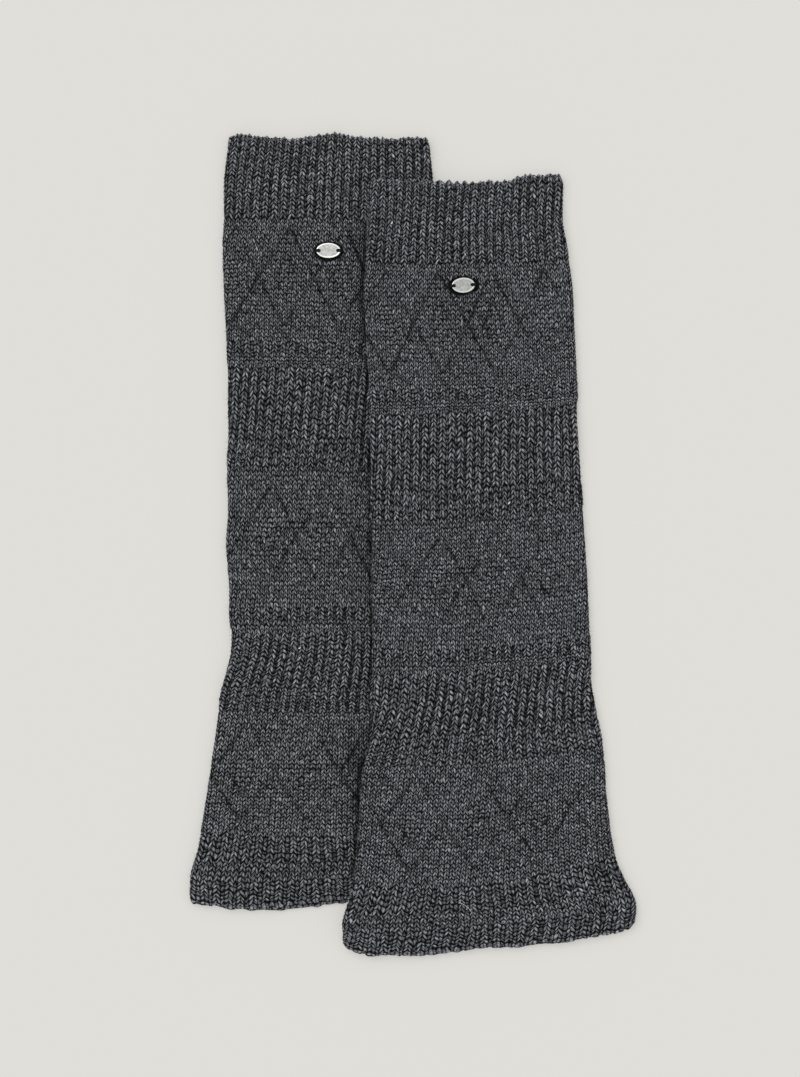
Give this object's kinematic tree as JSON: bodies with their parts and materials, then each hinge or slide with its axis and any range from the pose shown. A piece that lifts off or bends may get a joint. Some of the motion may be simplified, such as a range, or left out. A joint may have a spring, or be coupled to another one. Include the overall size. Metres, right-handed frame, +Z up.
{
  "type": "pair of leg warmers",
  "caption": "Pair of ribbed knitted leg warmers with diamond bands, lying flat and overlapping, each with a small oval metal plate below its cuff.",
  "frame": {"origin": "on the surface that the pair lies on, under the middle of the pair's box", "axes": "+X across the legs towards the upper one, +Y along the legs towards their cuffs, +Z up from the surface"},
  "size_m": [0.2588, 0.4746, 0.0128],
  "materials": {
    "wool": "matt charcoal melange knit",
    "plate": "satin silver"
  },
  "bodies": {
    "root": {"lower_leg_warmer": "wool", "upper_leg_warmer": "wool", "lower_badge": "plate", "upper_badge": "plate"}
  },
  "joints": []
}
